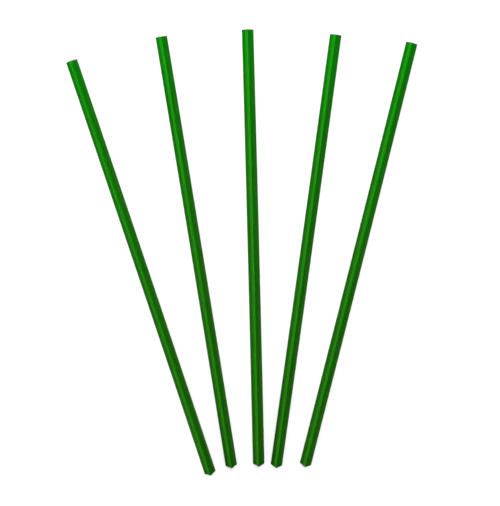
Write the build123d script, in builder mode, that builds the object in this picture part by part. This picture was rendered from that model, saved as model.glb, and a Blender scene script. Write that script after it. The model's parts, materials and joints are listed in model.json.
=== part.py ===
from build123d import *
import os
from math import cos, radians, sin, sqrt

# Five loose plastic guard tubes lie in a fan, feet together and top ends apart. They are the same hollow
# extrusion: a flat underside and two slightly dished flanks, which meet in a rounded ridge on top.
# The top end is cut square. The foot is cut at a slant, so that the ridge runs out to a point.
# Millimetres. +Z is up, and +Y runs along the middle tube from its foot to its top end. The origin is at
# the centre of the middle tube's underside.

# One tube
length = 1000.0  # from the square top end to the point of the foot
side = 29.1  # of the section's triangle to its sharp corners; 26.2 across once they are rounded
wall = 1.8
outer_radius = 1.5  # rounding of the three long edges
inner_radius = 0.5  # rounding of the three long corners of the hollow
dish = 0.8  # depth of the hollow in each flank
foot_slant = 15.0  # degrees between the foot's cut and a square one

# The fan: how far each foot's point is from the middle tube's, across and along, and how many degrees
# the tube leans to the left of the middle one
fan = {
    "far_left_tube": (-110.0, -17.0, 17.1),
    "left_tube": (-62.0, -2.0, 7.8),
    "middle_tube": (0.0, 0.0, 0.0),
    "right_tube": (39.5, -4.0, -9.3),
    "far_right_tube": (105.5, -3.5, -15.6),
}

with BuildSketch() as section:
    with BuildLine():
        underside = Line((-side / 2, 0), (side / 2, 0))
        right_flank = SagittaArc(underside @ 1, (0, side * sqrt(3) / 2), dish)
        SagittaArc(right_flank @ 1, underside @ 0, dish)
    make_face()
    fillet(section.vertices(), outer_radius)
    offset(amount=-wall, mode=Mode.SUBTRACT)
    fillet(section.face().inner_wires().vertices(), inner_radius)
ridge_height = section.sketch.bounding_box().max.Y

os.makedirs("parts", exist_ok=True)
for name, (across, along, lean) in fan.items():
    # The section stands at the top end, with its own Y up, and is extruded towards the foot.
    to_foot = Vector(sin(radians(lean)), -cos(radians(lean)), 0)
    foot_point = Vector(across, along - length / 2, 0)
    across_tube = Vector(-to_foot.Y, to_foot.X, 0)
    top_end = Plane(foot_point - to_foot * length, x_dir=across_tube, z_dir=to_foot)
    foot_tip = top_end.from_local_coords((0, ridge_height, length))
    foot_cut = Plane(foot_tip, x_dir=across_tube, z_dir=to_foot).rotated((foot_slant, 0, 0))
    with BuildPart() as tube:
        with BuildSketch(top_end):
            add(section.sketch)
        extrude(amount=length)
        split(bisect_by=foot_cut, keep=Keep.BOTTOM)
    tube.part.label = name
    export_step(tube.part, f"parts/{name}.step")
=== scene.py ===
"""Five green guard tubes in a fan on a pale floor, seen from above. Metres, in the CAD model's frame."""

import json
import math

import bpy
import numpy as np
from mathutils import Matrix, Vector


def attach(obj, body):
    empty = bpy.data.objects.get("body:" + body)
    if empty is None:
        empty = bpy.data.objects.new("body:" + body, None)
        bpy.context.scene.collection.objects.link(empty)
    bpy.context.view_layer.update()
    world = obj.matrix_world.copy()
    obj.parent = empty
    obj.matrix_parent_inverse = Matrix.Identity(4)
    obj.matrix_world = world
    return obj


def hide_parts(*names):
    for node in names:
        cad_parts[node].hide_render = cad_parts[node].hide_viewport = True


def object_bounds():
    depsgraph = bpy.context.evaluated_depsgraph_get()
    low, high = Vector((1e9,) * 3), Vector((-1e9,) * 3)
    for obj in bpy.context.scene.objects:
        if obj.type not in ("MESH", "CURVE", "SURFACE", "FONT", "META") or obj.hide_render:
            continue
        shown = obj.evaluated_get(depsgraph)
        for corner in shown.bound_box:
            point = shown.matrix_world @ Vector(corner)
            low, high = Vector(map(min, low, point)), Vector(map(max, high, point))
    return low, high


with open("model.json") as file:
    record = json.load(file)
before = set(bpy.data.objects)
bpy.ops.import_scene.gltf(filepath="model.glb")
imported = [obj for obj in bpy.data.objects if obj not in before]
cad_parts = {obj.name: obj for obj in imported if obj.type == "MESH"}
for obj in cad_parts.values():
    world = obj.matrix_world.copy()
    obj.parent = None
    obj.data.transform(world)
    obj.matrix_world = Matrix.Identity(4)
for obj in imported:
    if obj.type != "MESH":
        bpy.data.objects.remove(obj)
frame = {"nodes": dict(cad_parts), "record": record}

cad_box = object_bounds()
MM = 0.001

# The tube's section, as in the CAD model
SIDE = 29.1 * MM          # of the triangle to its sharp corners
WALL = 1.8 * MM
OUTER_RADIUS = 1.5 * MM   # of the three long edges
INNER_RADIUS = 0.5 * MM   # of the three long corners of the hollow
DISH = 0.8 * MM           # depth of the hollow in each flank
FOOT_SLANT = math.radians(15)

# What sawing, cooling and handling leave on it
EDGE_WEAR = 0.25 * MM     # rounding of the cut ends' edges
BOW = 0.7 * MM            # how far the tube's middle lies to the right of its ends
FLANK_WAVE = 0.05 * MM    # slow unevenness of the faces along the tube
SIDEWAYS_WAVES = 9        # how many waves that unevenness is made of, to the sides
SINKING_WAVES = 7         # and downwards
SAW_WANDER = 0.3 * MM     # how uneven the cut ends are, at most
SAW_WAVES = 9             # and how many waves that is made of

# The plastic's colours. The foot is darker and duller than the top end; the darkening is partly painted
# shade, for light that falls off towards the foot, and partly a duller green. It is brown along its base
# edges, as if soiled.
TOP_END_GREEN = (0.001, 0.16, 0.0005, 1)
SHADED_DULL_FOOT_GREEN = (0.007, 0.10, 0.001, 1)
SOILED_GREEN = (0.022, 0.11, 0.006, 1)
PLAIN_GREEN = (0.007, 0.12, 0.002, 1)      # of the underside and the hollow
RIM_SHADE_GREEN = (0.006, 0.028, 0.004, 1)       # painted shade: the dark edge beside each cut
SAWN_DARK = (0.014, 0.110, 0.006, 1)
SAWN_PALE = (0.060, 0.270, 0.032, 1)
SHADE_AND_DULLING_POWER = 2.0                              # how soon the top end's green gives way to the foot's darker, duller one, which is partly painted shade
SOIL_START = 0.5                           # across the tube: the ridge is 0, a base edge is 1

# The left flank is dark low down and pale beside the ridge: painted shade low down and a painted highlight
# band beside the ridge. They stand for how the light falls in the photo, as lamps alone don't give it on so
# plain a flank.
# Both are shares of the plastic's own tone.
# Places across the tube count from the ridge, which is 0, to the left base edge, which is -1.
LOW_LEFT_SHADE = -0.3
LOW_LEFT_FADE = (-0.7, -0.4)               # where the shade starts to fade, and where it ends
PAINTED_LIT_BAND = 0.5
BAND_CENTRE = -0.27
BAND_REACH = 0.25                          # from its centre to where it ends
BAND_WANDER = 0.04                         # how much both waver along the tube

# Smaller changes of tone, as shares of it
STREAKS = 0.12
DIE_MARKS = 0.12
MOTTLE = 0.08
SCUFF_TONE = 0.45
FOOT_SHADE = -0.14                         # at the foot's cut
FOOT_SHADE_REACH = 0.06                    # share of the tube's length
# How strong the painted shade beside each cut is
RIM_SHADE_STRENGTH = 0.7
RIM_SHADE_REACH = (0.6 * MM, 2.4 * MM)           # from the cut: where the painted shade of the rim starts to fade, and where it ends

# Hair scratches
HAIR_STRENGTH = 0.8                        # against a rubbed edge, which is 1
HAIR_TURNS = (-24, -7, 5, 31)              # degrees that each set is turned from the tube's length

# Gloss
GLOSSY = 0.20                              # roughness where the plastic is glossiest
DULL = 0.30                                # and where it is dullest, apart from scuffs
SCUFF_ROUGHNESS = 0.25                     # added where it is scuffed
SPECULAR_LEVEL = 0.3
SPECULAR_TINT = (0.25, 1.0, 0.10, 1)       # a white one would make the ridge look grey

# The mesh
RINGS = 120
CORNER_STEPS = 8
FLANK_STEPS = 12
BASE_STEPS = 10
EDGE_STEPS = 3

# The camera
CAMERA_HEIGHT = 9.0
CAMERA_FORWARD = 0.26     # how far it stands towards the top ends from what it looks at
VIEW_HEIGHT = 1.157       # how much of the floor the picture shows from top to bottom
VIEW_SHIFT = Vector((0.007, -0.002, 0))   # of the picture's middle from the middle of the fan
ROLL = math.radians(1.46)


# ---------------------------------------------------------------- section

def flank_circle():
    """Centre and radius of the right flank's circle. It is outside the tube, because the flank is hollow."""
    radius = (SIDE ** 2 / 4 + DISH ** 2) / (2 * DISH)
    outwards = radius - DISH
    middle = Vector((SIDE / 4, SIDE * math.sqrt(3) / 4))
    return middle + outwards * Vector((math.sqrt(3) / 2, 0.5)), radius


def arc(centre, radius, start, end, steps):
    """Points along an arc, without its last one."""
    angles = [start + (end - start) * i / steps for i in range(steps)]
    return [(centre.x + radius * math.cos(a), centre.y + radius * math.sin(a)) for a in angles]


def outline(inset, corner_radius):
    """The section's outline, moved inwards by inset, as points (across, up) that run anticlockwise."""
    centre, radius = flank_circle()
    reach = radius + inset + corner_radius
    low_height = inset + corner_radius
    low = Vector((centre.x - math.sqrt(reach ** 2 - (centre.y - low_height) ** 2), low_height))
    ridge = Vector((0, centre.y - math.sqrt(reach ** 2 - centre.x ** 2)))
    low_turn = math.atan2(centre.y - low.y, centre.x - low.x)
    ridge_turn = math.atan2(centre.y - ridge.y, centre.x)
    right = [(low.x * i / (BASE_STEPS / 2), inset) for i in range(BASE_STEPS // 2)]
    right += arc(low, corner_radius, -math.pi / 2, low_turn, CORNER_STEPS)
    right += arc(centre, radius + inset, low_turn + math.pi, ridge_turn + math.pi, FLANK_STEPS)
    right += arc(ridge, corner_radius, ridge_turn, math.pi / 2, CORNER_STEPS)
    right.append((0.0, ridge.y + corner_radius))
    left = [(-x, z) for x, z in reversed(right[1:-1])]
    return np.array(right + left)


# ---------------------------------------------------------------- tube mesh

def slow_noise(rng, shares, waves):
    """A smooth random curve over shares from 0 to 1, which mostly stays well within -1 and 1."""
    total = np.zeros_like(shares)
    for k in range(1, waves + 1):
        height = rng.uniform(-1, 1) / math.sqrt(k)
        start = rng.uniform(0, 2 * math.pi)
        total += height * np.sin(2 * math.pi * k * shares + start)
    return total / math.sqrt(waves)


def foot_cut(heights, ridge_height, length):
    """Where the foot's slanting cut is along the tube, at each of some heights above the ground."""
    return -length / 2 + (ridge_height - heights) * math.tan(FOOT_SLANT)


def tube_rings(rng, length, outer):
    """Rings of points: up the outside, over the top end, down the hollow, and over the foot. Also the numbers
    of the two rings that a cut face starts from, at the top end and at the foot."""
    inner = outline(WALL, INNER_RADIUS)
    worn_outer = outline(EDGE_WEAR, OUTER_RADIUS - EDGE_WEAR)
    worn_inner = outline(WALL - EDGE_WEAR, INNER_RADIUS + EDGE_WEAR)
    ridge_height = outer[:, 1].max()
    around = np.linspace(0, 1, len(outer), endpoint=False)
    foot_wander = SAW_WANDER * (1 + slow_noise(rng, around, SAW_WAVES)) / 2
    top_wander = SAW_WANDER * (1 + slow_noise(rng, around, SAW_WAVES)) / 2

    def ring(points, share, back):
        """A ring at share of the way from foot to top end, drawn in by back at the ends."""
        foot = foot_cut(points[:, 1], ridge_height, length) + foot_wander + back
        top = length / 2 - top_wander - back
        return np.column_stack([points[:, 0], foot + (top - foot) * share, points[:, 1]])

    def rounding(wall, worn_wall, share):
        """Rings that turn the edge between a wall and a cut end."""
        rings = []
        for i in range(1, EDGE_STEPS + 1):
            a = math.pi / 2 * i / EDGE_STEPS
            points = wall + (worn_wall - wall) * (1 - math.cos(a))
            rings.append(ring(points, share, EDGE_WEAR * (1 - math.sin(a))))
        return rings

    shares = np.linspace(0, 1, RINGS)
    rings = [ring(outer, s, EDGE_WEAR) for s in shares]
    rings += rounding(outer, worn_outer, 1)
    top_face = len(rings) - 1
    rings += reversed(rounding(inner, worn_inner, 1))
    rings += [ring(inner, s, EDGE_WEAR) for s in shares[::-1]]
    rings += rounding(inner, worn_inner, 0)
    foot_face = len(rings) - 1
    rings += reversed(rounding(outer, worn_outer, 0))
    return rings, top_face, foot_face


def ring_faces(rings, count, cut_rings):
    """Faces between each ring of count points and the next one, and whether each belongs to a cut end."""
    faces = []
    is_cut = []
    for k in range(rings):
        following = (k + 1) % rings
        for i in range(count):
            j = (i + 1) % count
            faces.append((k * count + j, k * count + i, following * count + i, following * count + j))
            is_cut.append(k in cut_rings)
    return faces, is_cut


def tube_mesh(name, length, seed):
    """One tube along +Y, lying on its underside, with the middle of its length at the origin."""
    rng = np.random.default_rng(seed)
    outer = outline(0, OUTER_RADIUS)
    ridge_height = outer[:, 1].max()
    count = len(outer)
    rings, top_face, foot_face = tube_rings(rng, length, outer)
    points = np.concatenate(rings)

    # What the materials read: the place along and across the tube, how far the nearer cut is, and whether
    # it is on a flank's outside
    along = (points[:, 1] + length / 2) / length
    across = points[:, 0] / outer[:, 0].max()
    from_foot = points[:, 1] - foot_cut(points[:, 2], ridge_height, length)
    to_end = np.minimum(from_foot, length / 2 - points[:, 1])
    flank = np.zeros(len(points))
    flank[:count * top_face] = np.tile(outer[:, 1] > OUTER_RADIUS, top_face)
    described = {
        "along": along,
        "across": across,
        "to_end": to_end,
        "flank": flank,
        "seed": np.full(len(points), seed),
    }

    # The faces wave very slightly, and the tube bows sideways. Both leave its underside on the floor.
    lift = np.clip(points[:, 2] / ridge_height, 0, 1)
    points[:, 0] += FLANK_WAVE * slow_noise(rng, along, SIDEWAYS_WAVES) * lift
    points[:, 2] -= FLANK_WAVE * (1 + slow_noise(rng, along, SINKING_WAVES)) / 2 * lift
    points[:, 0] += BOW * (2 / 3 - (2 * along - 1) ** 2)

    faces, is_cut = ring_faces(len(rings), count, (top_face, foot_face))
    mesh = bpy.data.meshes.new(name)
    mesh.from_pydata(points.tolist(), [], faces)
    mesh.polygons.foreach_set("material_index", np.array(is_cut, np.int32))
    mesh.polygons.foreach_set("use_smooth", np.ones(len(faces), bool))
    for key, values in described.items():
        attribute = mesh.attributes.new(key, "FLOAT", "POINT")
        attribute.data.foreach_set("value", values.astype(np.float32))
    mesh.validate()
    mesh.update()
    return mesh


# ---------------------------------------------------------------- materials

class Nodes:
    """Short names for building a material's nodes."""

    def __init__(self, name):
        self.material = bpy.data.materials.new(name)
        self.material.use_nodes = True
        self.tree = self.material.node_tree
        self.shader = self.tree.nodes["Principled BSDF"]

    def add(self, kind, inputs=(), **settings):
        node = self.tree.nodes.new("ShaderNode" + kind)
        for key, value in settings.items():
            setattr(node, key, value)
        for key, value in dict(inputs).items():
            self.link(value, node.inputs[key])
        return node

    def link(self, value, socket):
        if isinstance(value, bpy.types.NodeSocket):
            self.tree.links.new(value, socket)
        else:
            socket.default_value = value

    def attribute(self, name):
        return self.add("Attribute", attribute_name=name).outputs["Fac"]

    def local(self, stretch, turn):
        """The tube's own coordinates, for a pattern drawn out by stretch and then turned about Z."""
        inputs = {
            "Vector": self.add("TexCoord").outputs["Object"],
            "Rotation": (0, 0, math.radians(turn)),
            "Scale": stretch,
        }
        return self.add("Mapping", inputs, vector_type="TEXTURE").outputs["Vector"]

    def noise(self, stretch, size, detail=3.0, turn=0.0):
        """Noise from 0 to 1 with size features per metre, which differs from tube to tube."""
        inputs = {
            "Vector": self.local(stretch, turn),
            "W": self.attribute("seed"),
            "Scale": size,
            "Detail": detail,
            "Roughness": 0.55,
        }
        return self.add("TexNoise", inputs, noise_dimensions="4D").outputs["Fac"]

    def spread(self, value, low, high, to_low=0.0, to_high=1.0):
        """The value moved from the range low to high into the range to_low to to_high, and kept in it."""
        inputs = {
            "Value": value,
            "From Min": low,
            "From Max": high,
            "To Min": to_low,
            "To Max": to_high,
        }
        return self.add("MapRange", inputs).outputs["Result"]

    def vary(self, strength, stretch, size, detail):
        """Noise from -strength to strength."""
        return self.spread(self.noise(stretch, size, detail), 0.3, 0.7, -strength, strength)

    def mix(self, share, a, b):
        """Colour a where share is 0, and b where it is 1."""
        node = self.add("Mix", data_type="RGBA")
        self.link(share, node.inputs[0])
        self.link(a, node.inputs[6])
        self.link(b, node.inputs[7])
        return node.outputs[2]

    def maths(self, operation, a, b=0.0):
        node = self.add("Math", operation=operation)
        self.link(a, node.inputs[0])
        self.link(b, node.inputs[1])
        return node.outputs[0]

    def sum(self, *values):
        total = values[0]
        for value in values[1:]:
            total = self.maths("ADD", total, value)
        return total

    def bump(self, height, strength, distance):
        node = self.add("Bump", {"Height": height, "Strength": strength, "Distance": distance})
        self.link(node.outputs["Normal"], self.shader.inputs["Normal"])


def scuffs(m, across):
    """Where handling has marked the plastic, from 0 to 1: hair scratches and rubbed long edges."""
    hairs = 0.0
    for turn in HAIR_TURNS:
        line = m.noise(stretch=(1, 60, 60), size=2300, detail=1, turn=turn)
        hairs = m.maths("MAXIMUM", hairs, m.spread(line, 0.66, 0.72))
    patches = m.spread(m.noise(stretch=(1, 3, 1), size=45, detail=2), 0.45, 0.70)
    hairs = m.maths("MULTIPLY", hairs, patches)

    from_ridge = m.maths("ABSOLUTE", across)
    ridge = m.spread(from_ridge, 0.02, 0.09, 1, 0)
    base_edge = m.spread(from_ridge, 0.93, 0.99)
    rubbed = m.spread(m.noise(stretch=(1, 9, 1), size=700, detail=3), 0.52, 0.66)
    rubbed = m.maths("MULTIPLY", rubbed, m.maths("MAXIMUM", ridge, base_edge))
    return m.maths("MAXIMUM", m.maths("MULTIPLY", hairs, HAIR_STRENGTH), rubbed)


def plastic_green(m, place):
    """The plastic's colour before its tone varies: the top end's green, the foot's green darkened partly by
    painted shade, or soiled on the flanks, plain elsewhere.
    """
    towards_top = m.maths("POWER", m.attribute("along"), SHADE_AND_DULLING_POWER)
    base_edges = m.spread(m.maths("ABSOLUTE", place), SOIL_START, 1.0)
    soiled = m.maths("MULTIPLY", base_edges, m.maths("SUBTRACT", 1.0, towards_top))
    # Towards the foot the green darkens: painted shade, together with a duller green.
    green = m.mix(soiled, m.mix(towards_top, SHADED_DULL_FOOT_GREEN, TOP_END_GREEN), SOILED_GREEN)
    return m.mix(m.attribute("flank"), PLAIN_GREEN, green)


def plastic_tone(m, place, worn):
    """How light the plastic is against its own colour, which is 1. This includes the painted highlight band
    and painted shade on the left flank, and the painted shade towards the foot's cut.
    """
    # A painted highlight band beside the ridge, and painted shade low down on the left flank
    from_band = m.maths("ABSOLUTE", m.maths("SUBTRACT", place, BAND_CENTRE))
    painted_lit_band = m.spread(from_band, 0, BAND_REACH, PAINTED_LIT_BAND, 0)
    low_left_shade = m.spread(place, *LOW_LEFT_FADE, LOW_LEFT_SHADE, 0)
    return m.sum(
        1.0,
        m.vary(STREAKS, stretch=(1, 80, 1), size=420, detail=4),
        m.vary(DIE_MARKS, stretch=(1, 330, 1), size=2600, detail=2),
        m.vary(MOTTLE, stretch=(1, 3, 1), size=110, detail=4),
        m.maths("MULTIPLY", worn, SCUFF_TONE),
        m.maths("MULTIPLY", m.attribute("flank"), m.maths("ADD", painted_lit_band, low_left_shade)),
        m.spread(m.attribute("along"), 0, FOOT_SHADE_REACH, FOOT_SHADE, 0),
    )


def green_plastic():
    """Extruded green plastic: lighter at the top end and darker and duller at the foot, partly by painted
    shade, with streaks, die marks and wear, a painted highlight band and painted shade on the left flank, and
    painted shade beside each cut.
    """
    m = Nodes("green_plastic")
    across = m.attribute("across")
    place = m.maths("ADD", across, m.vary(BAND_WANDER, stretch=(5, 20, 5), size=60, detail=2))
    worn = scuffs(m, across)
    toned = {"Color": plastic_green(m, place), "Value": plastic_tone(m, place, worn)}
    colour = m.add("HueSaturation", toned).outputs["Color"]
    # A dark rim beside each cut: painted shade.
    rim_shade = m.spread(m.attribute("to_end"), *RIM_SHADE_REACH, RIM_SHADE_STRENGTH, 0)
    m.link(m.mix(rim_shade, colour, RIM_SHADE_GREEN), m.shader.inputs["Base Color"])

    gloss = m.spread(m.noise(stretch=(1, 10, 1), size=160, detail=3), 0.3, 0.7, GLOSSY, DULL)
    roughness = m.maths("ADD", gloss, m.maths("MULTIPLY", worn, SCUFF_ROUGHNESS))
    m.link(roughness, m.shader.inputs["Roughness"])
    m.shader.inputs["Specular IOR Level"].default_value = SPECULAR_LEVEL
    m.shader.inputs["Specular Tint"].default_value = SPECULAR_TINT

    die_lines = m.maths("MULTIPLY", m.noise(stretch=(1, 250, 1), size=2200, detail=2), 0.6)
    peel = m.maths("MULTIPLY", m.noise(stretch=(1, 1, 1), size=900, detail=2), 0.25)
    scratched = m.maths("MULTIPLY", worn, 0.2)
    height = m.maths("SUBTRACT", m.maths("ADD", die_lines, peel), scratched)
    m.bump(height, strength=0.4, distance=0.03 * MM)
    return m.material


def sawn_plastic():
    """The cut ends: paler and duller, with saw marks."""
    m = Nodes("sawn_plastic")
    fine_marks = m.maths("MULTIPLY", m.noise(stretch=(1, 1, 12), size=2600, detail=3), 0.6)
    broad_marks = m.maths("MULTIPLY", m.noise(stretch=(1, 1, 30), size=900, detail=1), 0.4)
    marks = m.maths("ADD", fine_marks, broad_marks)
    m.link(m.mix(m.spread(marks, 0.38, 0.62), SAWN_DARK, SAWN_PALE), m.shader.inputs["Base Color"])
    m.link(m.spread(marks, 0.38, 0.62, 0.60, 0.80), m.shader.inputs["Roughness"])
    m.bump(marks, strength=0.6, distance=0.12 * MM)
    return m.material


# ---------------------------------------------------------------- tubes

mounts = {mount["name"]: mount for mount in frame["record"]["mounts"]}
plastic = green_plastic()
sawn = sawn_plastic()
for seed, node in enumerate(sorted(frame["nodes"]), start=1):
    short = node.removesuffix("_tube")
    middle = Vector(mounts[f"{short}_rest"]["pos_m"])
    top = Vector(mounts[f"{short}_top_end"]["pos_m"])
    heading = Vector(mounts[f"{short}_top_end"]["axis"])
    length = 2 * (top.xy - middle.xy).length
    lean = math.atan2(-heading.x, heading.y)
    piece = bpy.data.objects.new(f"{short}_tube_body", tube_mesh(node, length, seed))
    bpy.context.scene.collection.objects.link(piece)
    piece.data.materials.append(plastic)
    piece.data.materials.append(sawn)
    piece.matrix_world = Matrix.Translation(middle) @ Matrix.Rotation(lean, 4, "Z")
    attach(piece, node)
    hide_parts(node)


# ---------------------------------------------------------------- floor, light, camera

def stage_floor(half, albedo):
    """A matt pale floor, half metres from its middle to each side."""
    mesh = bpy.data.meshes.new("floor")
    corners = [(-half, -half, 0), (half, -half, 0), (half, half, 0), (-half, half, 0)]
    mesh.from_pydata(corners, [], [(0, 1, 2, 3)])
    floor = bpy.data.objects.new("floor", mesh)
    bpy.context.scene.collection.objects.link(floor)
    material = bpy.data.materials.new("floor")
    material.use_nodes = True
    shader = material.node_tree.nodes["Principled BSDF"]
    shader.inputs["Base Color"].default_value = (albedo, albedo, albedo, 1)
    shader.inputs["Roughness"].default_value = 0.9
    shader.inputs["Specular IOR Level"].default_value = 0.1
    mesh.materials.append(material)
    floor.visible_glossy = False


def soft_light(name, position, aim, width, depth, power):
    """A rectangular lamp at a position in metres that points at aim. The camera doesn't see it."""
    data = bpy.data.lights.new(name, "AREA")
    data.shape = "RECTANGLE"
    data.size = width
    data.size_y = depth
    data.energy = power
    light = bpy.data.objects.new(name, data)
    bpy.context.scene.collection.objects.link(light)
    light.location = position
    light.rotation_euler = (Vector(aim) - Vector(position)).to_track_quat("-Z", "Y").to_euler()
    light.visible_camera = False


def distant_lamp(name, azimuth, elevation, spread, strength):
    """A large, distant lamp, which lights all five tubes alike. azimuth runs anticlockwise from +X."""
    data = bpy.data.lights.new(name, "SUN")
    data.angle = math.radians(spread)
    data.energy = strength
    lamp = bpy.data.objects.new(name, data)
    bpy.context.scene.collection.objects.link(lamp)
    lamp.rotation_euler = (0, math.radians(90 - elevation), math.radians(azimuth))
    return lamp


def studio_world(strength):
    """Even white light from all round, which doesn't show in reflections."""
    world = bpy.data.worlds.new("studio")
    bpy.context.scene.world = world
    world.use_nodes = True
    background = world.node_tree.nodes["Background"]
    background.inputs["Color"].default_value = (1, 1, 1, 1)
    background.inputs["Strength"].default_value = strength
    world.cycles_visibility.glossy = False


def camera():
    """A camera high above the fan, with the middle tube leaning slightly in its picture."""
    low, high = cad_box
    aim = (low + high) / 2 + VIEW_SHIFT
    eye = Vector((aim.x, aim.y + CAMERA_FORWARD, CAMERA_HEIGHT))
    back = (eye - aim).normalized()
    up = Vector((math.sin(ROLL), math.cos(ROLL), 0))
    right = up.cross(back).normalized()
    turn = Matrix((right, back.cross(right), back)).transposed().to_4x4()
    data = bpy.data.cameras.new("camera")
    data.lens = data.sensor_width * (eye - aim).length / VIEW_HEIGHT
    data.clip_end = 200
    view = bpy.data.objects.new("camera", data)
    view.matrix_world = Matrix.Translation(eye) @ turn
    bpy.context.scene.collection.objects.link(view)
    bpy.context.scene.camera = view


stage_floor(half=40.0, albedo=0.80)
studio_world(strength=0.60)
overhead = distant_lamp("overhead", azimuth=0, elevation=90, spread=60, strength=2.0)
overhead.visible_glossy = False
distant_lamp("key", azimuth=180, elevation=15, spread=25, strength=1.9)
soft_light("tops", position=(0, 1.4, 1.5), aim=(0, 0.45, 0), width=1.6, depth=0.8, power=12)
camera()
bpy.context.scene.view_settings.view_transform = "Standard"
